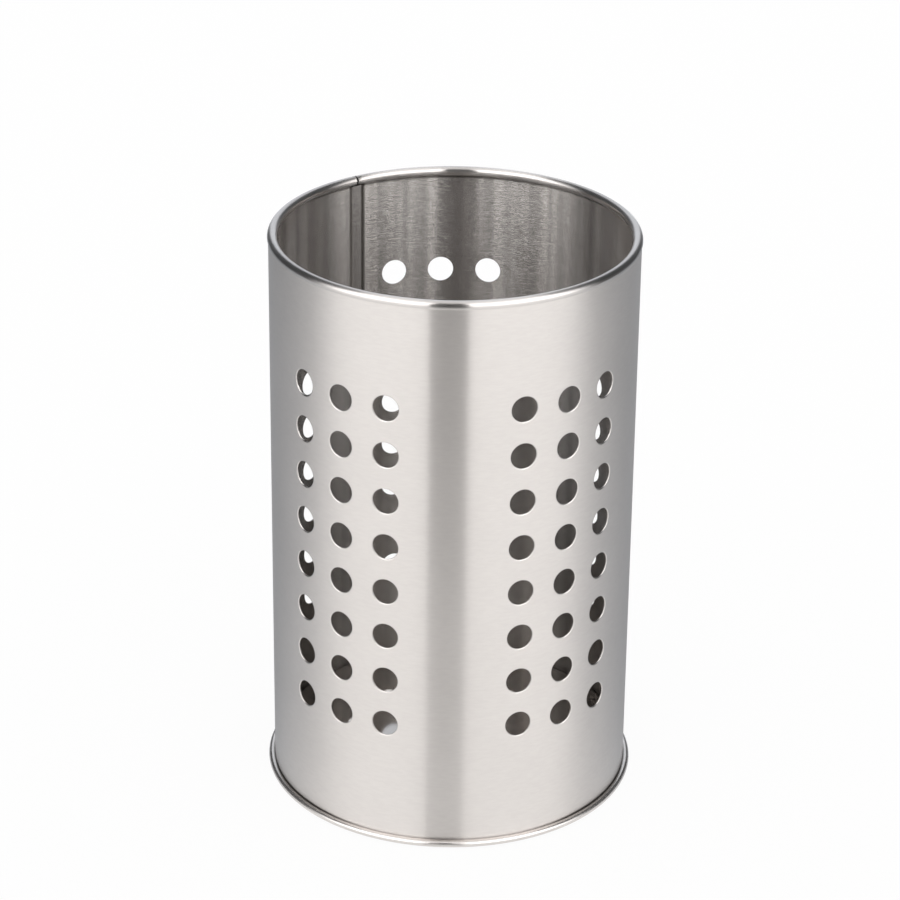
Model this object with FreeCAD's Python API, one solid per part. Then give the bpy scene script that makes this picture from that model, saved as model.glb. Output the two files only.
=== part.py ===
"""Utensil holder: a perforated steel wall with a lock seam, seamed to a raised base pan.

Millimetres, +Z up. The origin is the middle of the circle that the holder stands on.
Angles run round the holder from the front (-Y) towards +X.
"""
import FreeCAD
import Part

import math
import os

# Driving dimensions
WALL_DIAMETER = 114.0
TOTAL_HEIGHT = 184.0
WALL_SHEET = 0.4
BASE_SHEET = 0.5

# Rim curl, rolled inwards from the top of the wall through an angle that ends at RIM_CURL_END degrees
RIM_BEAD_DIAMETER = 3.0
RIM_PROUD = 0.3
RIM_NECK_BEND = 0.8
RIM_CURL_END = 285.0
RIM_GAP = 0.7

# Lock seam, on the inside of the wall
SEAM_ANGLE = 212.6
SEAM_LAP = 2.2
SEAM_PLAY = 0.05
SEAM_JOGGLE_BEND = 0.7
SEAM_END_CLEARANCE = 0.2

# Punched holes in the wall
HOLE_DIAMETER = 8.25
HOLE_ROWS = 8
HOLE_COLUMNS = 3
HOLE_GROUPS = 5
BOTTOM_ROW_HEIGHT = 41.7
ROW_PITCH = 15.24
COLUMN_PITCH = 15.55
FIRST_GROUP_ANGLE = 250.3
GROUP_PITCH_ANGLE = 73.6

# Base pan and the bead that it is rolled into round the foot of the wall
FLOOR_HEIGHT = 8.5
FLOOR_CORNER = 2.0
BASE_BEAD_PROUD = 2.0
BASE_BEAD_HEIGHT = 2.2
FOOT_BEND = 0.4
FOOT_LIP_BEND = 0.3
BASE_CLEARANCE = 0.1

# Drain holes in the floor
DRAIN_DIAMETER = 6.0
DRAIN_COUNT = 9
DRAIN_CIRCLE_DIAMETER = 61.0
FIRST_DRAIN_ANGLE = 21.0


class SheetPath:
    """A sheet's middle line, drawn in a plane as straight runs and tangent bends, then thickened."""

    def __init__(self, start, heading, sheet):
        self.point = start
        self.heading = math.radians(heading)
        self.half = sheet / 2
        self.pieces = []

    def run(self, length):
        """A straight run along the present heading."""
        x, y = self.point
        end = (x + length * math.cos(self.heading), y + length * math.sin(self.heading))
        self.pieces.append(("run", self.point, end, self.heading))
        self.point = end
        return self

    def bend(self, radius, turn):
        """A bend of the middle line: a positive turn, in degrees, goes to the left."""
        side = math.copysign(1.0, turn)
        x, y = self.point
        centre = (x - side * radius * math.sin(self.heading), y + side * radius * math.cos(self.heading))
        first = self.heading - side * math.pi / 2
        last = first + math.radians(turn)
        self.pieces.append(("bend", centre, radius, first, last, side))
        self.point = (centre[0] + radius * math.cos(last), centre[1] + radius * math.sin(last))
        self.heading += math.radians(turn)
        return self

    def _edge(self, piece, offset, place):
        """One piece of the outline, moved to the left of the middle line by an offset."""
        if piece[0] == "run":
            _, start, end, heading = piece
            shift = (-offset * math.sin(heading), offset * math.cos(heading))
            ends = [place(p[0] + shift[0], p[1] + shift[1]) for p in (start, end)]
            return Part.LineSegment(*ends).toShape()
        _, centre, radius, first, last, side = piece
        reach = radius - side * offset
        on_arc = [
            place(centre[0] + reach * math.cos(a), centre[1] + reach * math.sin(a))
            for a in (first, (first + last) / 2, last)
        ]
        return Part.Arc(*on_arc).toShape()

    def face(self, place):
        """The sheet's section as a face; place turns the plane's two coordinates into a 3-D point."""
        left = [self._edge(piece, self.half, place) for piece in self.pieces]
        right = [self._edge(piece, -self.half, place) for piece in self.pieces]
        start_cap = Part.LineSegment(right[0].Vertexes[0].Point, left[0].Vertexes[0].Point).toShape()
        end_cap = Part.LineSegment(left[-1].Vertexes[-1].Point, right[-1].Vertexes[-1].Point).toShape()
        edges = [start_cap] + left + [end_cap] + right[::-1]
        return Part.Face(Part.Wire(Part.sortEdges(edges)[0]))


def upright(radius, height):
    """A point of a section that is spun about the holder's axis, drawn in the plane of the front."""
    return FreeCAD.Vector(0, -radius, height)


def flat(x, y):
    """A point of a section that is drawn in plan."""
    return FreeCAD.Vector(x, y, 0)


def spin(face, first_angle, sweep):
    """Spins an upright section about the axis, from an angle round the holder."""
    axis = FreeCAD.Vector(0, 0, 1)
    origin = FreeCAD.Vector(0, 0, 0)
    turned = face.copy()
    turned.rotate(origin, axis, first_angle)
    return turned.revolve(origin, axis, sweep)


def plan_angle(angle):
    """An angle round the holder as an angle from +X in plan, in radians."""
    return math.radians(angle - 90.0)


def corner_angle(side, other_side, opposite):
    """The angle between two sides of a triangle, in degrees, from its three lengths."""
    return math.degrees(math.acos((side**2 + other_side**2 - opposite**2) / (2 * side * other_side)))


# Places that follow from the dimensions
wall_radius = WALL_DIAMETER / 2
wall_middle = wall_radius - WALL_SHEET / 2
wall_inside = wall_radius - WALL_SHEET
layer_pitch = WALL_SHEET + SEAM_PLAY

curl_radius = (RIM_BEAD_DIAMETER - WALL_SHEET) / 2
curl_centre = wall_radius + RIM_PROUD - RIM_BEAD_DIAMETER / 2
curl_height = TOTAL_HEIGHT - RIM_BEAD_DIAMETER / 2
neck_side = wall_middle + RIM_NECK_BEND - curl_centre
neck_turn = math.degrees(math.acos(neck_side / (RIM_NECK_BEND + curl_radius)))
neck_height = curl_height - (RIM_NECK_BEND + curl_radius) * math.sin(math.radians(neck_turn))

pan_middle = wall_inside - BASE_CLEARANCE - BASE_SHEET / 2
foot_height = BASE_SHEET + BASE_CLEARANCE + WALL_SHEET / 2
foot_top = foot_height + FOOT_BEND
bead_radius = (BASE_BEAD_HEIGHT - BASE_SHEET) / 2
bead_outside = wall_radius + BASE_BEAD_PROUD
bead_centre = bead_outside - BASE_BEAD_HEIGHT / 2
pan_bend = FOOT_BEND + WALL_SHEET / 2 + BASE_CLEARANCE + BASE_SHEET / 2

seam_bottom = FLOOR_HEIGHT + SEAM_END_CLEARANCE
seam_top = curl_height - RIM_BEAD_DIAMETER / 2 - SEAM_END_CLEARANCE
gap_angle = SEAM_ANGLE + math.degrees(SEAM_LAP / wall_middle)
gap_sweep = math.degrees(RIM_GAP / wall_radius)
ring_start = gap_angle + gap_sweep / 2
ring_sweep = 360.0 - gap_sweep


def seamed_wall():
    """The upright sheet between the seam's ends, in plan: hook, lap and joggle, once round, hook.

    The way round is drawn as one arc for each group of holes."""
    inner_hook = wall_middle - layer_pitch
    inner_lap = wall_middle - 3 * layer_pitch
    outer_hook = wall_middle - 2 * layer_pitch
    lap_turn = math.degrees(SEAM_LAP / wall_middle)
    short_turn = lap_turn - math.degrees(SEAM_PLAY / wall_middle)

    # The joggle steps the inner lap out to the wall by two bends, whose centres and the axis
    # are the corners of a triangle
    to_first = inner_lap + SEAM_JOGGLE_BEND
    to_second = wall_middle - SEAM_JOGGLE_BEND
    apart = 2 * SEAM_JOGGLE_BEND
    joggle_sweep = corner_angle(to_first, to_second, apart)
    joggle_turn = corner_angle(to_first, apart, to_second)
    fold_reach = layer_pitch + WALL_SHEET / 2 + SEAM_PLAY
    lap_past_fold = math.degrees(fold_reach / inner_lap)
    once_round = 360.0 - lap_past_fold - joggle_sweep

    start = plan_angle(SEAM_ANGLE + short_turn)
    path = SheetPath(
        (inner_hook * math.cos(start), inner_hook * math.sin(start)),
        math.degrees(start) - 90.0,
        WALL_SHEET,
    )
    path.bend(inner_hook, -short_turn)
    path.bend(layer_pitch, -180.0)
    path.bend(inner_lap, lap_turn + lap_past_fold)
    path.bend(SEAM_JOGGLE_BEND, -joggle_turn)
    path.bend(SEAM_JOGGLE_BEND, joggle_turn + joggle_sweep)
    for _ in range(HOLE_GROUPS):
        path.bend(wall_middle, once_round / HOLE_GROUPS)
    path.bend(layer_pitch, 180.0)
    path.bend(outer_hook, -short_turn)
    sheet = path.face(flat).extrude(FreeCAD.Vector(0, 0, seam_top - seam_bottom))
    sheet.translate(FreeCAD.Vector(0, 0, seam_bottom))
    return sheet


def rim():
    """The top of the wall: a short neck that leans out, then the curl over to the inside."""
    path = SheetPath((wall_middle, seam_top), 90.0, WALL_SHEET)
    path.run(neck_height - seam_top)
    path.bend(RIM_NECK_BEND, -neck_turn)
    path.bend(curl_radius, RIM_CURL_END + neck_turn)
    return spin(path.face(upright), ring_start, ring_sweep)


def foot():
    """The bottom of the wall: down behind the pan, turned out, and its lip turned up.

    The lip's outer face stands where the bead round it starts to bend."""
    lip_middle = bead_centre - WALL_SHEET / 2
    lip_top = BASE_BEAD_HEIGHT - BASE_SHEET - BASE_CLEARANCE
    path = SheetPath((wall_middle, seam_bottom), -90.0, WALL_SHEET)
    path.run(seam_bottom - foot_top)
    path.bend(FOOT_BEND, 90.0)
    path.run(lip_middle - FOOT_LIP_BEND - wall_middle - FOOT_BEND)
    path.bend(FOOT_LIP_BEND, 90.0)
    path.run(lip_top - foot_height - FOOT_LIP_BEND)
    return spin(path.face(upright), ring_start, ring_sweep)


def wall_punches():
    """Radial cylinders for the wall's holes, in groups that are counted from the lock seam."""
    punch_start = wall_radius - 2 * RIM_BEAD_DIAMETER
    punch_end = wall_radius + RIM_BEAD_DIAMETER
    punches = []
    for group in range(HOLE_GROUPS):
        middle = FIRST_GROUP_ANGLE + group * GROUP_PITCH_ANGLE
        for column in range(HOLE_COLUMNS):
            aside = (column - (HOLE_COLUMNS - 1) / 2) * COLUMN_PITCH
            angle = plan_angle(middle + math.degrees(aside / wall_radius))
            outward = FreeCAD.Vector(math.cos(angle), math.sin(angle), 0)
            for row in range(HOLE_ROWS):
                height = FreeCAD.Vector(0, 0, BOTTOM_ROW_HEIGHT + row * ROW_PITCH)
                punches.append(
                    Part.makeCylinder(
                        HOLE_DIAMETER / 2, punch_end - punch_start, outward * punch_start + height, outward
                    )
                )
    return punches


def perforated_wall():
    """The wall sheet whole: rim, seamed middle and foot in one, then punched."""
    sheet = seamed_wall().fuse([rim(), foot()])
    return sheet.cut(Part.makeCompound(wall_punches()))


def base_pan():
    """The floor, its side down inside the wall, and the edge rolled out, up and over the foot's lip."""
    floor_middle = FLOOR_HEIGHT - BASE_SHEET / 2
    lower_layer = BASE_SHEET / 2
    path = SheetPath((0.0, floor_middle), 0.0, BASE_SHEET)
    path.run(pan_middle - FLOOR_CORNER)
    path.bend(FLOOR_CORNER, -90.0)
    path.run(floor_middle - FLOOR_CORNER - lower_layer - pan_bend)
    path.bend(pan_bend, 90.0)
    path.run(bead_centre - pan_middle - pan_bend)
    path.bend(bead_radius, 180.0)
    path.run(bead_centre - wall_radius - BASE_CLEARANCE)
    pan = spin(path.face(upright), 0.0, 360.0)

    drains = []
    for drain in range(DRAIN_COUNT):
        angle = plan_angle(FIRST_DRAIN_ANGLE + drain * 360.0 / DRAIN_COUNT)
        reach = DRAIN_CIRCLE_DIAMETER / 2
        middle = FreeCAD.Vector(reach * math.cos(angle), reach * math.sin(angle), 0)
        drains.append(Part.makeCylinder(DRAIN_DIAMETER / 2, FLOOR_HEIGHT + BASE_SHEET, middle))
    return pan.cut(Part.makeCompound(drains))


def main():
    os.makedirs("parts", exist_ok=True)
    nodes = {"perforated_wall": perforated_wall(), "base_pan": base_pan()}
    for name, shape in nodes.items():
        print(name, "solids", len(shape.Solids), "valid", shape.isValid(), "volume", round(shape.Volume, 1))
        shape.exportStep("parts/" + name + ".step")


main()
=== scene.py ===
"""Utensil holder: a perforated steel wall seamed to a raised base pan, shown in a white studio.

Metres, +Z up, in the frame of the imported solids, whose origin is the middle of the circle that the
holder stands on. Angles run round the holder from the front (-Y) towards +X.
"""

import math

import bmesh
import bpy
import numpy as np
from mathutils import Matrix, Vector


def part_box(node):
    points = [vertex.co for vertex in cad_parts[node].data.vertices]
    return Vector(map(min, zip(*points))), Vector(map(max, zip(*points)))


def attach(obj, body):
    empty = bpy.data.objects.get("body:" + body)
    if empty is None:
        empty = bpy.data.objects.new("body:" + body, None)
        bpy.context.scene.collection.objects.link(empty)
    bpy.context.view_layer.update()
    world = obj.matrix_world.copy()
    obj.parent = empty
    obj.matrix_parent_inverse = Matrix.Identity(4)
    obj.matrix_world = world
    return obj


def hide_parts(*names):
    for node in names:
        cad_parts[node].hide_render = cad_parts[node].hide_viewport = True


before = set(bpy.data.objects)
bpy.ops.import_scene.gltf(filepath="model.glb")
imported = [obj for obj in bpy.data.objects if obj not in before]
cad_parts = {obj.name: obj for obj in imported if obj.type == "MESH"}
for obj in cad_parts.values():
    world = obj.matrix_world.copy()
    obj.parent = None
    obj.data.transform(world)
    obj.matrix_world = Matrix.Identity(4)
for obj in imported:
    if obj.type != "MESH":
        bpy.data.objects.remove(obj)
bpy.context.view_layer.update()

# Sizes of the two sheets, from the frame where it shows them
MM = 0.001
TOTAL_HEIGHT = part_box("perforated_wall")[1].z
FLOOR_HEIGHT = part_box("base_pan")[1].z
BEAD_OUTSIDE = -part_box("base_pan")[0].y
BASE_BEAD_PROUD = 2.0 * MM
BASE_BEAD_HEIGHT = 2.2 * MM
WALL_SHEET = 0.4 * MM
BASE_SHEET = 0.5 * MM
BASE_CLEARANCE = 0.1 * MM
FLOOR_CORNER = 2.0 * MM
FOOT_BEND = 0.4 * MM
FOOT_LIP_BEND = 0.3 * MM

# Rim curl
RIM_BEAD_DIAMETER = 3.0 * MM
RIM_PROUD = 0.3 * MM
RIM_NECK_BEND = 0.8 * MM
RIM_CURL_END = 285.0
RIM_GAP = 0.7 * MM

# Lock seam
SEAM_ANGLE = 212.6
SEAM_LAP = 2.2 * MM
SEAM_PLAY = 0.05 * MM
SEAM_JOGGLE_BEND = 0.7 * MM
SEAM_END_CLEARANCE = 0.2 * MM

# Punched holes, whose outer edges the punch rolls over
HOLE_DIAMETER = 8.25 * MM
HOLE_ROWS = 8
HOLE_COLUMNS = 3
HOLE_GROUPS = 5
BOTTOM_ROW_HEIGHT = 41.7 * MM
ROW_PITCH = 15.24 * MM
COLUMN_PITCH = 15.55 * MM
FIRST_GROUP_ANGLE = 250.3
GROUP_PITCH_ANGLE = 73.6
ROLLED_EDGE_WIDTH = 0.3 * MM
ROLLED_EDGE_DEPTH = 0.18 * MM
BURR_CHAMFER = 0.04 * MM

# Drain holes
DRAIN_DIAMETER = 6.0 * MM
DRAIN_COUNT = 9
DRAIN_CIRCLE_RADIUS = 30.5 * MM
FIRST_DRAIN_ANGLE = 21.0
DRAIN_TILE_REACH = 6.0 * MM
DRAIN_TILE_ANGLE = 24.0

# Ripples that the seaming roller leaves in the base bead
RIPPLE_HEIGHT = 0.05 * MM
RIPPLE_WAVES = (23, 41, 67, 103)
RIPPLE_START = 1.7

# Fineness of the grids, and the slack with which their places are compared and welded
TILE_STEPS = 10
GAP_STEPS = 15
DRAIN_STEPS = 12
ARC_STEPS = 6
ROLL_STEPS = 4
PLAIN_STEPS = 4
NOTCH_STEPS = 2
SLACK = 1e-9
WELD_DISTANCE = 0.001 * MM
SHARP_ANGLE = 35.0

# Places that follow from the sizes
wall_radius = BEAD_OUTSIDE - BASE_BEAD_PROUD
wall_middle = wall_radius - WALL_SHEET / 2
wall_inside = wall_radius - WALL_SHEET
layer_pitch = WALL_SHEET + SEAM_PLAY
curl_radius = (RIM_BEAD_DIAMETER - WALL_SHEET) / 2
curl_centre = wall_radius + RIM_PROUD - RIM_BEAD_DIAMETER / 2
curl_height = TOTAL_HEIGHT - RIM_BEAD_DIAMETER / 2
pan_middle = wall_inside - BASE_CLEARANCE - BASE_SHEET / 2
foot_height = BASE_SHEET + BASE_CLEARANCE + WALL_SHEET / 2
bead_centre = BEAD_OUTSIDE - BASE_BEAD_HEIGHT / 2
seam_bottom = FLOOR_HEIGHT + SEAM_END_CLEARANCE
seam_top = curl_height - RIM_BEAD_DIAMETER / 2 - SEAM_END_CLEARANCE
lap_turn = math.degrees(SEAM_LAP / wall_middle)
gap_turn = math.degrees(RIM_GAP / wall_radius)
hole_turn = math.degrees(COLUMN_PITCH / wall_radius)


class Shell:
    """Collects grids of points, with the four-cornered faces between neighbours, for one piece."""

    def __init__(self):
        self.points = []
        self.faces = []
        self.polish = []
        self.count = 0

    def add(self, grids, around=False, keep=None, polish=0.0):
        """Adds grids of points, shaped (..., rows, columns, 3).

        Around joins the last column to the first, keep says which faces stay, and polish is how
        far each point is rubbed bright, from 0 to 1.
        """
        rows, columns = grids.shape[-3:-1]
        index = np.arange(grids.size // 3).reshape(-1, rows, columns)
        if around:
            index = np.concatenate([index, index[:, :, :1]], axis=2)
        corners = (index[:, :-1, :-1], index[:, 1:, :-1], index[:, 1:, 1:], index[:, :-1, 1:])
        quads = np.stack(corners, axis=-1)
        quads = quads.reshape(-1, 4) if keep is None else quads[:, keep].reshape(-1, 4)
        self.faces.append(quads + self.count)
        self.points.append(grids.reshape(-1, 3))
        self.polish.append(np.broadcast_to(polish, grids.shape[:-1]).ravel())
        self.count += grids.size // 3

    def piece(self, name, node, slot, material):
        """Makes the mesh, welds its grids, turns its faces outwards and puts it in a node's place."""
        points = np.concatenate(self.points)
        faces = np.concatenate(self.faces)
        mesh = bpy.data.meshes.new(name)
        mesh.vertices.add(len(points))
        mesh.vertices.foreach_set("co", points.astype(np.float32).ravel())
        mesh.loops.add(faces.size)
        mesh.loops.foreach_set("vertex_index", faces.astype(np.int32).ravel())
        mesh.polygons.add(len(faces))
        mesh.polygons.foreach_set("loop_start", np.arange(0, faces.size, 4, dtype=np.int32))
        mesh.update(calc_edges=True)
        polish = mesh.attributes.new("polish", "FLOAT", "POINT")
        polish.data.foreach_set("value", np.concatenate(self.polish).astype(np.float32))
        welded = bmesh.new()
        welded.from_mesh(mesh)
        bmesh.ops.remove_doubles(welded, verts=welded.verts, dist=WELD_DISTANCE)
        bmesh.ops.recalc_face_normals(welded, faces=welded.faces)
        welded.to_mesh(mesh)
        welded.free()
        mesh.polygons.foreach_set("use_smooth", np.ones(len(mesh.polygons), dtype=bool))
        mesh.set_sharp_from_angle(angle=math.radians(SHARP_ANGLE))
        mesh.materials.append(material)
        piece = bpy.data.objects.new(name, mesh)
        bpy.context.scene.collection.objects.link(piece)
        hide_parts(node)
        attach(piece, "root")


def around(angle, radius, height):
    """Points at angles round the holder, in degrees, at radii and heights."""
    turn = np.radians(angle)
    return np.stack(np.broadcast_arrays(radius * np.sin(turn), -radius * np.cos(turn), height), axis=-1)


def bent_line(place, heading, steps):
    """A sheet's middle line in a plane, in complex numbers: straight runs and tangent arcs.

    A step (length, turn) is a run of that length where turn is 0, and otherwise an arc of that
    radius through that many degrees, to the left if positive: the arc's centre lies one radius to
    that side, and the line swings round it. Returns the points and the unit normals to the left.
    """
    lines = []
    normals = []
    for length, turn in steps:
        share = np.linspace(0, 1, ARC_STEPS + 1 if turn else 2)
        swing = np.exp(1j * np.radians(turn) * share)
        if turn:
            line = place + math.copysign(length, turn) * 1j * heading * (1 - swing)
        else:
            line = place + length * heading * share
        lines.append(line if not lines else line[1:])
        normals.append(1j * heading * (swing if not normals else swing[1:]))
        place = line[-1]
        heading = heading * swing[-1]
    return np.concatenate(lines), np.concatenate(normals)


def both_faces(line, normals, sheet):
    """A sheet's outline: along the right face, across the end, and back along the left face."""
    right = line - normals * sheet / 2
    left = line + normals * sheet / 2
    return np.concatenate([right, left[::-1]])


def corner_angle(side, other_side, opposite):
    """The angle between two sides of a triangle, in degrees, from its three lengths."""
    return math.degrees(math.acos((side**2 + other_side**2 - opposite**2) / (2 * side * other_side)))


def end_cap(shell, outline, place):
    """Closes a sheet's cut edge between the two halves of its outline."""
    half = len(outline) // 2
    shell.add(place(np.stack([outline[:half], outline[half:][::-1]])))


def ring_of_sheet(shell, outline, angles, open_to, polish):
    """A section carried round the axis, with both cut edges closed.

    The section's start is closed too, up to an angle: from there on it is welded to the wall.
    """
    shell.add(around(angles[:, None], outline.real, outline.imag), polish=polish)
    for angle in (angles[0], angles[-1]):
        end_cap(shell, outline, lambda p: around(angle, p.real, p.imag))
    bare = angles[angles <= open_to + SLACK]
    start = outline[[0, -1]]
    shell.add(around(bare[:, None], start.real, start.imag))


def strip_of_sheet(shell, outline, heights):
    """A section in plan carried up the heights, with its top and bottom edges closed."""
    def upright(plan, height):
        return np.stack(np.broadcast_arrays(plan.real, plan.imag, height), axis=-1)

    shell.add(upright(outline[:, None], heights))
    for height in (heights[0], heights[-1]):
        end_cap(shell, outline, lambda p: upright(p, height))


def tile_border(low, high, steps):
    """Even places along a tile's border, corner by corner, as two coordinates."""
    share = np.linspace(0, 1, steps + 1)[:-1]
    along = np.concatenate([share, np.ones(steps), 1 - share, np.zeros(steps)])
    up = np.concatenate([np.zeros(steps), share, np.ones(steps), 1 - share])
    return low[0] + (high[0] - low[0]) * along, low[1] + (high[1] - low[1]) * up


def hole_rings(sheet):
    """The rings of a punched tile, from its outer border over the hole's edge to its inner border.

    Each ring has a growth of the hole's radius, a depth under the outer face, a share of the way out
    to the border and a polish. Three rings lie on the outer face, then a quarter of an ellipse rolls
    into the hole, one ring lies deep in the hole, and after a small chamfer come three on the inner
    face. The rings from the roll's second to the deep one are polished.
    """
    roll = np.radians(np.linspace(0, 90, ROLL_STEPS + 1))
    growth = np.concatenate([
        np.full(3, ROLLED_EDGE_WIDTH),
        ROLLED_EDGE_WIDTH * (1 - np.sin(roll)),
        [0.0],
        np.full(3, BURR_CHAMFER),
    ])
    depth = np.concatenate([
        np.zeros(3),
        ROLLED_EDGE_DEPTH * (1 - np.cos(roll)),
        [sheet - BURR_CHAMFER],
        np.full(3, sheet),
    ])
    share = np.concatenate([[1.0, 0.5, 0.05], np.zeros(ROLL_STEPS + 3), [0.05, 1.0]])
    polish = np.concatenate([np.zeros(4), np.ones(ROLL_STEPS + 1), np.zeros(3)])
    return growth[:, None], depth[:, None], share[:, None], polish[:, None]


def way_round_hole(steps):
    """Directions round a hole, in even steps for each side of its tile, from the tile's first corner."""
    return np.radians(-135.0 + np.arange(4 * steps) * 90.0 / steps)


def wall_angles():
    """The wall's columns of points: a plain strip and three tiles for each group, up to the seam."""
    half_group = hole_turn * HOLE_COLUMNS / 2
    columns = []
    last = joggle_end()
    for group in range(HOLE_GROUPS):
        first = FIRST_GROUP_ANGLE + group * GROUP_PITCH_ANGLE - half_group
        columns.append(np.linspace(last, first, GAP_STEPS + 1)[:-1])
        columns.append(first + np.arange(HOLE_COLUMNS * TILE_STEPS) * hole_turn / TILE_STEPS)
        last = first + 2 * half_group
    ring_end = SEAM_ANGLE + lap_turn - gap_turn / 2 + 360.0
    columns.append(np.linspace(last, ring_end, PLAIN_STEPS + 1))
    columns.append([SEAM_ANGLE + lap_turn + 360.0])
    return np.concatenate(columns)


def joggle():
    """The joggle between the seam's inner lap and the wall: two bends whose centres and the axis
    are the corners of a triangle.

    Returns its sweep round the axis, its turn, and how far the lap reaches past the fold.
    """
    inner_lap = wall_middle - 3 * layer_pitch
    to_first = inner_lap + SEAM_JOGGLE_BEND
    to_second = wall_middle - SEAM_JOGGLE_BEND
    apart = 2 * SEAM_JOGGLE_BEND
    sweep = corner_angle(to_first, to_second, apart)
    turn = corner_angle(to_first, apart, to_second)
    past_fold = math.degrees((layer_pitch + WALL_SHEET / 2 + SEAM_PLAY) / inner_lap)
    return sweep, turn, past_fold


def joggle_end():
    """The angle where the joggle has reached the wall."""
    sweep, _, past_fold = joggle()
    return SEAM_ANGLE + lap_turn + past_fold + sweep


def wall_middle_part(shell, angles, heights, tile_rows):
    """The upright sheet between the seam's ends: two faces over angle and height, tiled round the holes.

    In a tile, one parameter runs round the hole and along the tile's border in even steps, and the
    other from the outer border over the hole's edge to the inner border.
    """
    centre_angles = (
        FIRST_GROUP_ANGLE
        + np.arange(HOLE_GROUPS)[:, None] * GROUP_PITCH_ANGLE
        + (np.arange(HOLE_COLUMNS) - (HOLE_COLUMNS - 1) / 2) * hole_turn
    ).ravel()
    centre_heights = BOTTOM_ROW_HEIGHT + np.arange(HOLE_ROWS) * ROW_PITCH
    between = (angles[:-1] + angles[1:]) / 2
    in_tile_angle = np.abs(between[:, None] - centre_angles).min(1) < hole_turn / 2
    in_tile_height = (heights[:-1] > tile_rows[0] - SLACK) & (heights[1:] < tile_rows[1] + SLACK)
    plain = ~(in_tile_angle[:, None] & in_tile_height)
    for radius in (wall_radius, wall_inside):
        shell.add(around(angles[:, None], radius, heights), keep=plain)

    growth, depth, share, polish = hole_rings(WALL_SHEET)
    border = tile_border((-hole_turn / 2, -ROW_PITCH / 2), (hole_turn / 2, ROW_PITCH / 2), TILE_STEPS)
    way_round = way_round_hole(TILE_STEPS)
    reach = HOLE_DIAMETER / 2 + growth
    aside = np.degrees(np.arcsin(reach * np.cos(way_round) / (wall_radius - depth)))
    angle = (1 - share) * aside + share * border[0]
    height = (1 - share) * reach * np.sin(way_round) + share * border[1]
    tiles = around(
        centre_angles[:, None, None, None] + angle,
        wall_radius - depth,
        centre_heights[:, None, None] + height,
    )
    shell.add(tiles, around=True, polish=polish)

    for height in (heights[0], heights[-1]):
        edge = around(angles[-2:, None], np.array([wall_radius, wall_inside]), height)
        shell.add(edge)


def perforated_wall(material):
    """The wall sheet: the punched middle, the rim curl and the hooked foot as sections carried round
    the axis, and the lock seam's two hooked edges as sections carried upwards."""
    shell = Shell()
    low = BOTTOM_ROW_HEIGHT - ROW_PITCH / 2
    high = low + HOLE_ROWS * ROW_PITCH
    heights = np.concatenate([
        np.linspace(seam_bottom, low, PLAIN_STEPS + 1)[:-1],
        low + np.arange(HOLE_ROWS * TILE_STEPS) * ROW_PITCH / TILE_STEPS,
        np.linspace(high, seam_top, PLAIN_STEPS + 1),
    ])
    angles = wall_angles()
    wall_middle_part(shell, angles, heights, (low, high))

    # The rim and the foot reach from one side of the notch above and below the seam to the other
    ring_start = SEAM_ANGLE + lap_turn + gap_turn / 2
    ring = np.concatenate([np.linspace(ring_start, angles[0], NOTCH_STEPS + 1)[:-1], angles[:-1]])
    neck_turn = math.degrees(
        math.acos((wall_middle + RIM_NECK_BEND - curl_centre) / (RIM_NECK_BEND + curl_radius))
    )
    neck_height = curl_height - (RIM_NECK_BEND + curl_radius) * math.sin(math.radians(neck_turn))
    quarter_curl = (curl_radius, (RIM_CURL_END + neck_turn) / 4)
    rim = bent_line(wall_middle + 1j * seam_top, 1j, [
        (neck_height - seam_top, 0),
        (RIM_NECK_BEND, -neck_turn),
        *[quarter_curl] * 4,
    ])
    section = both_faces(*rim, WALL_SHEET)
    rolled = np.clip((section.imag - neck_height) / RIM_NECK_BEND, 0, 1)
    ring_of_sheet(shell, section, ring, angles[0], rolled)

    lip_middle = bead_centre - WALL_SHEET / 2
    lip_top = BASE_BEAD_HEIGHT - BASE_SHEET - BASE_CLEARANCE
    foot = bent_line(wall_middle + 1j * seam_bottom, -1j, [
        (seam_bottom - foot_height - FOOT_BEND, 0),
        (FOOT_BEND, 90.0),
        (lip_middle - FOOT_LIP_BEND - wall_middle - FOOT_BEND, 0),
        (FOOT_LIP_BEND, 90.0),
        (lip_top - foot_height - FOOT_LIP_BEND, 0),
    ])
    ring_of_sheet(shell, both_faces(*foot, WALL_SHEET), ring, angles[0], 0.0)

    # The seam's two hooked edges, each drawn in plan from the wall to its cut edge
    joggle_sweep, joggle_turn, past_fold = joggle()
    hook_turn = lap_turn - math.degrees(SEAM_PLAY / wall_middle)
    leaving = np.exp(1j * math.radians(joggle_end() - 90.0))
    inner_edge = bent_line(wall_middle * leaving, -1j * leaving, [
        (SEAM_JOGGLE_BEND, -(joggle_turn + joggle_sweep)),
        (SEAM_JOGGLE_BEND, joggle_turn),
        (wall_middle - 3 * layer_pitch, -(lap_turn + past_fold)),
        (layer_pitch, 180.0),
        (wall_middle - layer_pitch, hook_turn),
    ])
    arriving = np.exp(1j * math.radians(SEAM_ANGLE + lap_turn - 90.0))
    outer_edge = bent_line(wall_middle * arriving, 1j * arriving, [
        (layer_pitch, 180.0),
        (wall_middle - 2 * layer_pitch, -hook_turn),
    ])
    for edge in (inner_edge, outer_edge):
        strip_of_sheet(shell, both_faces(*edge, WALL_SHEET), heights)
    shell.piece("holder_wall", "perforated_wall", "wall_steel", material)


def ripple(angles):
    """A small uneven wave round the bead: sines of a few counts, each with its own start."""
    turn = np.radians(angles)
    waves = [np.sin(count * (turn + RIPPLE_START)) for count in RIPPLE_WAVES]
    return np.sum(waves, axis=0) / len(RIPPLE_WAVES)


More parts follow.
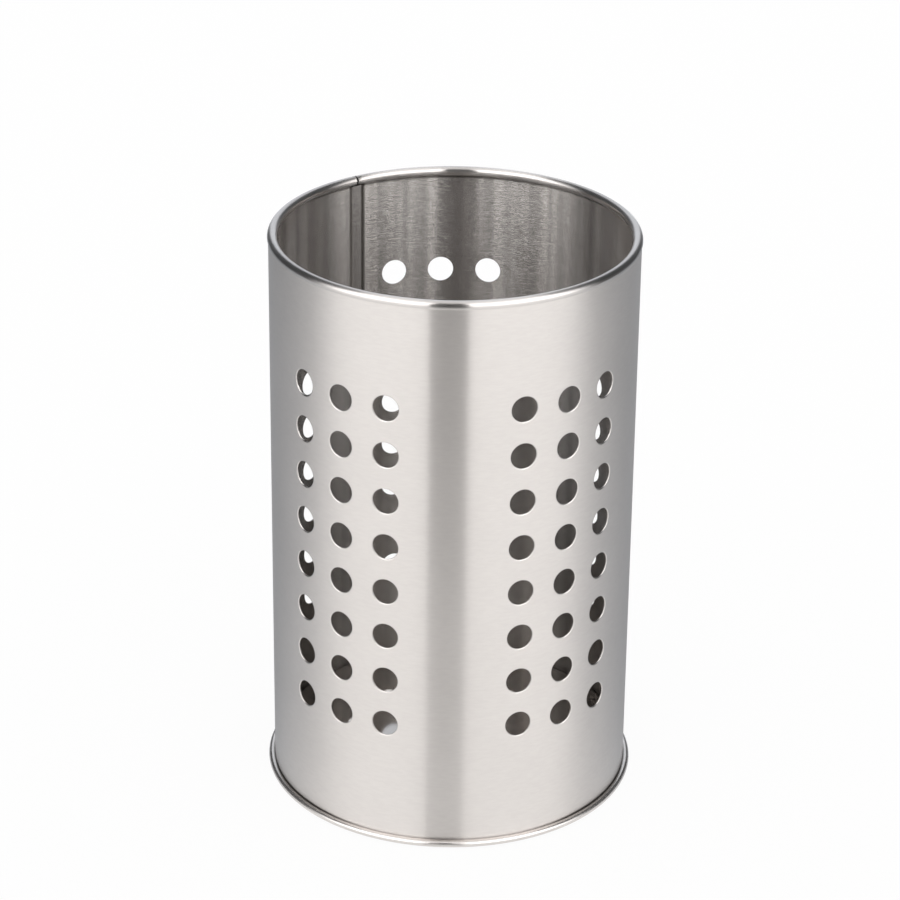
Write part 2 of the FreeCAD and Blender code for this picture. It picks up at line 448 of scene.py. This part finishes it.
def base_pan(material):
    """The pressed base: a flat floor with drain holes, its side down inside the wall, and the
    rolled bead, as one section carried once round the axis."""
    shell = Shell()
    tile_half = DRAIN_TILE_ANGLE / 2
    drain_pitch = 360.0 / DRAIN_COUNT
    drain_angles = FIRST_DRAIN_ANGLE + np.arange(DRAIN_COUNT) * drain_pitch
    one_drain = np.concatenate([
        np.linspace(-tile_half, tile_half, DRAIN_STEPS + 1)[:-1],
        np.linspace(tile_half, drain_pitch - tile_half, DRAIN_STEPS + 1)[:-1],
    ])
    angles = (drain_angles[:, None] + one_drain).ravel()
    in_plain = np.tile(np.arange(2 * DRAIN_STEPS) >= DRAIN_STEPS, DRAIN_COUNT)

    # The floor: a disc and a ring on both faces, and between them the tiles with the drain holes
    tile_in = DRAIN_CIRCLE_RADIUS - DRAIN_TILE_REACH
    tile_out = DRAIN_CIRCLE_RADIUS + DRAIN_TILE_REACH
    closed = np.append(angles, angles[0])
    tile_radii = np.linspace(tile_in, tile_out, DRAIN_STEPS + 1)
    for height in (FLOOR_HEIGHT, FLOOR_HEIGHT - BASE_SHEET):
        shell.add(around(closed[:, None], np.linspace(0, tile_in, PLAIN_STEPS + 1), height))
        keep = np.broadcast_to(in_plain[:, None], (len(angles), DRAIN_STEPS))
        shell.add(around(closed[:, None], tile_radii, height), keep=keep)
    growth, depth, share, polish = hole_rings(BASE_SHEET)
    border = tile_border((-tile_half, tile_in), (tile_half, tile_out), DRAIN_STEPS)
    way_round = way_round_hole(DRAIN_STEPS)
    reach = DRAIN_DIAMETER / 2 + growth
    across = reach * np.cos(way_round)
    outward = DRAIN_CIRCLE_RADIUS + reach * np.sin(way_round)
    angle = (1 - share) * np.degrees(np.arctan2(across, outward)) + share * border[0]
    radius = (1 - share) * np.hypot(across, outward) + share * border[1]
    tiles = around(drain_angles[:, None, None] + angle, radius, FLOOR_HEIGHT - depth)
    shell.add(tiles, around=True, polish=polish)

    # The edge of the floor, the side and the bead, whose rolled lip ripples a little
    floor_middle = FLOOR_HEIGHT - BASE_SHEET / 2
    pan_bend = FOOT_BEND + WALL_SHEET / 2 + BASE_CLEARANCE + BASE_SHEET / 2
    bead_radius = (BASE_BEAD_HEIGHT - BASE_SHEET) / 2
    edge = bent_line(tile_out + 1j * floor_middle, 1.0, [
        (pan_middle - FLOOR_CORNER - tile_out, 0),
        (FLOOR_CORNER, -90.0),
        (floor_middle - FLOOR_CORNER - BASE_SHEET / 2 - pan_bend, 0),
        (pan_bend, 90.0),
        (bead_centre - pan_middle - pan_bend, 0),
        (bead_radius, 90.0),
        (bead_radius, 90.0),
        (bead_centre - wall_radius - BASE_CLEARANCE, 0),
    ])
    outline = both_faces(*edge, BASE_SHEET)
    lift = (outline.real > wall_radius) * np.clip(outline.imag / BASE_BEAD_HEIGHT, 0, 1) ** 2
    height = outline.imag + lift * RIPPLE_HEIGHT * ripple(closed)[:, None]
    shell.add(around(closed[:, None], outline.real, height))
    shell.piece("holder_base", "base_pan", "base_steel", material)


class Link:
    """An output of a shader node. Arithmetic on it adds Math nodes to the same tree."""

    def __init__(self, finish, output):
        self.finish = finish
        self.output = output

    def math(self, operation, *values):
        return self.finish.node("ShaderNodeMath", {"operation": operation}, dict(enumerate(values)))

    def __add__(self, other):
        return self.math("ADD", self, other)

    def __radd__(self, other):
        return self.math("ADD", other, self)

    def __sub__(self, other):
        return self.math("SUBTRACT", self, other)

    def __rsub__(self, other):
        return self.math("SUBTRACT", other, self)

    def __mul__(self, other):
        return self.math("MULTIPLY", self, other)

    def __rmul__(self, other):
        return self.math("MULTIPLY", other, self)


class Finish:
    """A node tree that is filled by expressions."""

    def __init__(self, tree):
        self.tree = tree
        self.tree.nodes.clear()

    def node(self, kind, settings=None, inputs=None, out=0):
        """Adds a node, sets its settings, then its sockets to values or links, and gives one output."""
        made = self.tree.nodes.new(kind)
        for name, value in (settings or {}).items():
            setattr(made, name, value)
        for name, value in (inputs or {}).items():
            if isinstance(value, Link):
                self.tree.links.new(value.output, made.inputs[name])
            else:
                made.inputs[name].default_value = value
        return Link(self, made.outputs[out]) if made.outputs else made

    def place(self):
        """The object coordinates, as a vector."""
        return self.node("ShaderNodeTexCoord", out="Object")

    def along(self, axis):
        """The object coordinate along X, Y or Z."""
        return self.node("ShaderNodeSeparateXYZ", None, {0: self.place()}, out=axis)

    def noise(self, scale, detail, start=(0.0, 0.0, 0.0)):
        """A noise from 0 to 1 on object coordinates, at a scale in waves per metre along each axis,
        moved along by a start that is counted in waves."""
        inputs = {"Vector": self.place(), "Scale": scale, "Location": start}
        stretched = self.node("ShaderNodeMapping", None, inputs)
        return self.node("ShaderNodeTexNoise", None, {"Vector": stretched, "Scale": 1.0, "Detail": detail})

    def ramp(self, value, low, high, to_low=0.0, to_high=1.0):
        """A value carried smoothly from one range to another, and held at the ends."""
        inputs = {"Value": value, "From Min": low, "From Max": high, "To Min": to_low, "To Max": to_high}
        return self.node("ShaderNodeMapRange", {"interpolation_type": "SMOOTHSTEP"}, inputs)

    def blend(self, share, one, other):
        """A colour part of the way from one to the other."""
        inputs = {"Factor": share, "A": one, "B": other}
        return self.node("ShaderNodeMix", {"data_type": "RGBA"}, inputs, out="Result")


def new_material(name):
    """An empty material, and the finish that fills its node tree."""
    material = bpy.data.materials.new(name)
    material.use_nodes = True
    return material, Finish(material.node_tree)


def shaded(colour, share):
    """A colour that is lighter by a share, or darker where the share is negative."""
    return (*((1 + share) * part for part in colour), 1.0)


# Steel: its colours, and its patterns in waves per metre with the part of a noise that they use
STEEL_COLOUR = (0.715, 0.68, 0.655)
# Inside the holder the colour is darker, partly a duller sheet and partly painted shade
DULL_AND_SHADED_COLOUR = (0.54, 0.512, 0.49)
# A near-black colour for the painted shade in the creases
CREASE_SHADE_COLOUR = (0.07, 0.06, 0.05)
TONE_SPREAD = 0.03
SCRATCHES = (350.0, 350.0, 7000.0)
GRAIN = (330.0, 330.0, 1500.0)
GRAIN_RANGE = (0.3, 0.7)
SMUDGES = (38.0, 38.0, 30.0)
SMUDGE_RANGE = (0.35, 0.75)
STREAKS = (210.0, 210.0, 5.0)
STREAKS_START = (36.5, 15.5, 0.0)
STREAK_RANGE = (0.3, 0.7)

# Gloss of the steel: a quarter turn lays its spread across the scratches
SPREAD_TURN = 0.25
SMUDGE_ROUGHNESS = 0.02
POLISH_ROUGHNESS = 0.04
HAZE_ROUGHNESS = 0.65
BUMP_FILTER = 0.02
COARSER_INSIDE = 2.5
BROAD_LOST_INSIDE = 0.7
HAZE_LOST_INSIDE = 0.15

# Painted shade in the creases, where shadow falls: how far it is full and how far it reaches, and how much
# it covers
SHADE_OVER_BASE = (0.1 * MM, 0.8 * MM, 0.85)
SHADE_UNDER_RIM = (0.5 * MM, 1.2 * MM, 0.75)
SHADE_BESIDE_FOLD = (0.3 * MM, 1.0 * MM, 0.8)
SHADE_ON_FOLD = (0.4 * MM, 1.0 * MM, 0.5)
SHADE_ON_LAP = (1.4 * MM, 2.1 * MM, 0.35)
BESIDE_FOLD_TURN = 1.0
ON_FOLD_TURN = 0.3

# The painted shade in the base crease is lighter at the front: down to which shares of the wall's radius it
# fades, and what is left
SHADE_FADE_FROM = 0.95
SHADE_FADE_TO = 0.7
SHADE_LEFT_AT_FRONT = 0.28


def painted_crease_shade(finish, radius, height, inside):
    """Painted shade in corners, where shadow falls, by the distance from the middle of each corner.

    Two corners run round, above the base bead and under the rim bead, and are points in the
    section. The lock seam's fold, the corner beside it and its lap run up the wall, and are points
    in plan. All but the first are shaded only on the wall's inside, and the first is painted lighter
    at the front.
    """
    section = finish.node("ShaderNodeCombineXYZ", None, {"X": radius, "Z": height})
    level = {0: finish.place(), 1: (1.0, 1.0, 0.0)}
    plan = finish.node("ShaderNodeVectorMath", {"operation": "MULTIPLY"}, level)

    def crease_shade(vector, middle, core, reach, depth):
        inputs = {0: vector, 1: tuple(middle)}
        apart = finish.node("ShaderNodeVectorMath", {"operation": "DISTANCE"}, inputs, out="Value")
        return finish.ramp(apart, core, reach, depth, 0.0)

    _, _, past_fold = joggle()
    lap_inside = wall_inside - 3 * layer_pitch
    lap_middle = SEAM_ANGLE + (lap_turn + past_fold) / 2
    over_base = crease_shade(section, (wall_radius, 0.0, BASE_BEAD_HEIGHT), *SHADE_OVER_BASE)
    under_rim = crease_shade(section, (wall_inside, 0.0, seam_top), *SHADE_UNDER_RIM)
    beside_fold = crease_shade(plan, around(SEAM_ANGLE - BESIDE_FOLD_TURN, wall_inside, 0.0), *SHADE_BESIDE_FOLD)
    on_fold = crease_shade(plan, around(SEAM_ANGLE - ON_FOLD_TURN, lap_inside, 0.0), *SHADE_ON_FOLD)
    on_lap = crease_shade(plan, around(lap_middle, lap_inside, 0.0), *SHADE_ON_LAP)
    lighter_at_front = finish.ramp(
        finish.along("Y"), -SHADE_FADE_FROM * wall_radius, -SHADE_FADE_TO * wall_radius, SHADE_LEFT_AT_FRONT, 1.0
    )
    return over_base * lighter_at_front + inside * (under_rim + beside_fold + on_fold + on_lap)


def steel(name, roughness, inside_roughness, broad_share, broad_roughness, haze, anisotropy,
          scratch_depth, grain_depth, streak_depth):
    """Stainless sheet, as three metal reflections laid over each other: a sharp one and a broad one,
    which the scratches round the axis spread upwards and downwards, and an even haze.

    A bump adds the scratches and a coarser grain that mottles the reflection. The side towards the
    axis is darker, partly a duller sheet and partly painted shade, and more scratched and streaked
    upright, painted shade darkens the creases, and rolled and punched edges are rubbed smooth,
    without bump or haze.
    """
    material, finish = new_material(name)
    scratches = finish.noise(SCRATCHES, 1.0)
    grain = finish.noise(GRAIN, 2.0)
    smudges = finish.ramp(finish.noise(SMUDGES, 3.0), *SMUDGE_RANGE)
    streaks = finish.ramp(finish.noise(STREAKS, 1.0, STREAKS_START), *STREAK_RANGE)
    polish = finish.node("ShaderNodeAttribute", {"attribute_name": "polish"}, out="Fac")
    x = finish.along("X")
    y = finish.along("Y")
    radius = x.math("SQRT", x * x + y * y)
    inside = (1 - finish.ramp(radius, wall_inside, wall_radius)) * (1 - polish)

    tone = 0.5 * finish.ramp(grain, *GRAIN_RANGE) + 0.5 * smudges
    bright = finish.blend(tone, shaded(STEEL_COLOUR, TONE_SPREAD), shaded(STEEL_COLOUR, -TONE_SPREAD))
    # The inside is darker, partly a duller sheet and partly painted shade, and streaked upright
    dull_and_shaded = finish.blend(
        streaks, shaded(DULL_AND_SHADED_COLOUR, -streak_depth / 2), shaded(DULL_AND_SHADED_COLOUR, streak_depth / 2)
    )
    before_crease_shade = finish.blend(inside, bright, dull_and_shaded)
    # Painted shade: the creases are darkened towards a near-black colour, less at the front of the base
    # crease
    crease_shade = painted_crease_shade(finish, radius, finish.along("Z"), inside)
    colour = finish.blend(crease_shade, before_crease_shade, shaded(CREASE_SHADE_COLOUR, 0.0))

    coarseness = (scratch_depth / grain_depth) * (1 + COARSER_INSIDE * inside)
    bump = finish.node("ShaderNodeBump", None, {
        "Strength": 1.0,
        "Filter Width": BUMP_FILTER,
        "Distance": grain_depth,
        "Height": (coarseness * scratches + (1 + inside) * grain) * (1 - polish),
    }, out="Normal")

    def reflection(spread, across):
        return finish.node("ShaderNodeBsdfPrincipled", None, {
            "Base Color": colour,
            "Metallic": 1.0,
            "Roughness": spread,
            "Anisotropic": across,
            "Anisotropic Rotation": SPREAD_TURN,
            "Normal": bump,
        })

    wear = SMUDGE_ROUGHNESS * smudges - POLISH_ROUGHNESS * polish
    sharp_roughness = (roughness - SMUDGE_ROUGHNESS / 2) + (inside_roughness - roughness) * inside + wear
    sharp = reflection(sharp_roughness, anisotropy)
    broad = reflection(broad_roughness, anisotropy)
    satin = reflection(HAZE_ROUGHNESS, 0.0)
    broad_part = broad_share * (1 - BROAD_LOST_INSIDE * inside)
    sheen = finish.node("ShaderNodeMixShader", None, {0: broad_part, 1: sharp, 2: broad})
    haze_part = (haze - HAZE_LOST_INSIDE * inside) * (1 - polish)
    mixed = finish.node("ShaderNodeMixShader", None, {0: haze_part, 1: sheen, 2: satin})
    finish.node("ShaderNodeOutputMaterial", None, {"Surface": mixed})
    return material


# Pieces
perforated_wall(steel(
    "wall_steel",
    roughness=0.2,
    inside_roughness=0.2,
    broad_share=0.4,
    broad_roughness=0.42,
    haze=0.3,
    anisotropy=1.0,
    scratch_depth=0.03 * MM,
    grain_depth=0.015 * MM,
    streak_depth=0.4,
))
base_pan(steel(
    "base_steel",
    roughness=0.22,
    inside_roughness=0.08,
    broad_share=0.0,
    broad_roughness=0.6,
    haze=0.12,
    anisotropy=0.0,
    scratch_depth=0.0005 * MM,
    grain_depth=0.0005 * MM,
    streak_depth=0.0,
))

# Floor
WHITE = (1.0, 1.0, 1.0, 1.0)
FLOOR_COLOUR = (0.95, 0.95, 0.95, 1.0)
FLOOR_GLOW = 0.9
FLOOR_REACH = 3.0


def white_floor():
    """White paper: most of it shines white by itself, and the rest is lit, so that a shadow stays."""
    material, finish = new_material("white_floor")
    lit = finish.node("ShaderNodeBsdfDiffuse", None, {"Color": FLOOR_COLOUR})
    glow = finish.node("ShaderNodeEmission", None, {"Color": WHITE, "Strength": 1.0})
    seen = finish.node("ShaderNodeLightPath", out="Is Camera Ray")
    seen = seen + finish.node("ShaderNodeLightPath", out="Is Glossy Ray")
    seen = seen + finish.node("ShaderNodeLightPath", out="Is Transmission Ray")
    mixed = finish.node("ShaderNodeMixShader", None, {0: FLOOR_GLOW * seen, 1: lit, 2: glow})
    finish.node("ShaderNodeOutputMaterial", None, {"Surface": mixed})
    return material


def stage_sheet(name, points, faces, material):
    """A sheet of the studio, from its points and faces."""
    mesh = bpy.data.meshes.new(name)
    mesh.from_pydata(points, [], faces)
    mesh.materials.append(material)
    sheet = bpy.data.objects.new(name, mesh)
    bpy.context.scene.collection.objects.link(sheet)
    return sheet


floor_corners = [
    (-FLOOR_REACH, -FLOOR_REACH, 0.0),
    (FLOOR_REACH, -FLOOR_REACH, 0.0),
    (FLOOR_REACH, FLOOR_REACH, 0.0),
    (-FLOOR_REACH, FLOOR_REACH, 0.0),
]
stage_sheet("paper_floor", floor_corners, [(0, 1, 2, 3)], white_floor())

# Tent that only reflections see, and the bearings in degrees between which its tones change
TENT_START = 59.5 * MM
TENT_LIFT = 0.3 * MM
TENT_REACH = 1.2
TENT_HEIGHT = 2.4
TENT_STEPS = 180
PAPER_FRONT = 0.6
PAPER_SIDE = 0.7
PAPER_EDGE = 0.03
PAPER_TOP = (1.0 * MM, 2.0 * MM)
PAPER_TONE = 0.97
PAPER_BACK_TONE = 0.4
PAPER_FADE = (62.0, 140.0)
COOL_COLOUR = (0.94, 0.99, 1.06, 1.0)
PANEL_TONE = 1.1
PANEL_UPPER_TONE = 2.3
PANEL_UPPER_START = (0.0, 0.3)
PANEL_END = (66.0, 98.0)
DARK_TONE = 0.06
BACKDROP_TONE = 0.9
BACKDROP_START = (154.0, 166.0)
SLIT_TONE = 0.02
SLIT_LEFT = (-15.5, -13.5)
SLIT_RIGHT = (6.5, 11.5)
SLIT_REACH = (0.1, 0.5)
SLIT_SHADE = (0.78, 0.15)


def tent_tones():
    """The studio's brightness by bearing from the wall's focal point, half its radius before the axis.

    Around stand a white panel on each side of the camera with a dark slit between them, dark sides
    and a white backdrop. The table is lit paper, which fades and cools towards the back, and on which
    the slit's shade deepens with the distance.
    """
    material, finish = new_material("tent_tones")
    x = finish.along("X")
    y = finish.along("Y")
    z = finish.along("Z")
    bearing = (180.0 / math.pi) * x.math("ARCTAN2", x, -wall_radius / 2 - y)
    aside = bearing.math("ABSOLUTE", bearing)
    slit = finish.ramp(bearing, *SLIT_LEFT) * (1 - finish.ramp(bearing, *SLIT_RIGHT))
    panels = 1 - finish.ramp(aside, *PANEL_END)
    backdrop = finish.ramp(aside, *BACKDROP_START)
    panel = PANEL_TONE + (PANEL_UPPER_TONE - PANEL_TONE) * finish.ramp(z, *PANEL_UPPER_START)
    far = DARK_TONE + (panel - DARK_TONE) * panels + (BACKDROP_TONE - DARK_TONE) * backdrop
    far = far * (1 - slit) + SLIT_TONE * slit

    front = finish.ramp(y, -PAPER_FRONT - PAPER_EDGE, -PAPER_FRONT + PAPER_EDGE)
    side = 1 - finish.ramp(x.math("ABSOLUTE", x), PAPER_SIDE - PAPER_EDGE, PAPER_SIDE + PAPER_EDGE)
    table = front * side * (1 - finish.ramp(z, *PAPER_TOP))
    faded = finish.ramp(aside, *PAPER_FADE)
    lit = PAPER_BACK_TONE + (PAPER_TONE - PAPER_BACK_TONE) * (1 - faded)
    in_slit = 1 - slit * (1 - finish.ramp(-1 * y, *SLIT_REACH, *SLIT_SHADE))
    tone = far * (1 - table) + lit * in_slit * table
    tint = finish.blend(faded, WHITE, COOL_COLOUR)
    toned = finish.node("ShaderNodeVectorMath", {"operation": "SCALE"}, {0: tint, "Scale": tone})
    glow = finish.node("ShaderNodeEmission", None, {"Color": toned, "Strength": 1.0})
    finish.node("ShaderNodeOutputMaterial", None, {"Surface": glow})
    return material


def tent():
    """A floor ring and an upright wall, as one section carried once round the axis."""
    turn = np.linspace(0, 360, TENT_STEPS + 1)
    radii = np.array([TENT_START, TENT_REACH, TENT_REACH])
    heights = np.array([TENT_LIFT, TENT_LIFT, TENT_HEIGHT])
    points = around(turn[:, None], radii, heights)
    index = np.arange(points.size // 3).reshape(points.shape[:2])
    faces = np.stack([index[:-1, :-1], index[1:, :-1], index[1:, 1:], index[:-1, 1:]], axis=-1)
    sheet = stage_sheet("tent", points.reshape(-1, 3).tolist(), faces.reshape(-1, 4).tolist(), tent_tones())
    sheet.visible_camera = False
    sheet.visible_diffuse = False
    sheet.visible_shadow = False
    sheet.visible_transmission = False


tent()

# Even white light from all sides
world = bpy.data.worlds.new("studio")
bpy.context.scene.world = world
world.use_nodes = True
surround = Finish(world.node_tree)
sky = surround.node("ShaderNodeBackground", None, {"Color": WHITE, "Strength": 1.0})
surround.node("ShaderNodeOutputWorld", None, {"Surface": sky})

# Camera, at the photograph's viewing angle
CAMERA_PLACE = Vector((0.0, -0.919, 0.5445))
CAMERA_YAW = math.radians(-0.05)
CAMERA_PITCH = math.radians(25.31)
CAMERA_ROLL = math.radians(0.67)
CAMERA_LENS = 129.32
forward = Vector((
    math.sin(CAMERA_YAW) * math.cos(CAMERA_PITCH),
    math.cos(CAMERA_YAW) * math.cos(CAMERA_PITCH),
    -math.sin(CAMERA_PITCH),
))
level = forward.cross(Vector((0, 0, 1))).normalized()
upward = level.cross(forward)
right = level * math.cos(CAMERA_ROLL) + upward * math.sin(CAMERA_ROLL)
top = upward * math.cos(CAMERA_ROLL) - level * math.sin(CAMERA_ROLL)
turned = Matrix((right, top, -forward)).transposed().to_4x4()
camera_data = bpy.data.cameras.new("camera")
camera_data.lens = CAMERA_LENS
camera = bpy.data.objects.new("camera", camera_data)
bpy.context.scene.collection.objects.link(camera)
camera.matrix_world = Matrix.Translation(CAMERA_PLACE) @ turned
bpy.context.scene.camera = camera
bpy.context.scene.view_settings.view_transform = "Standard"
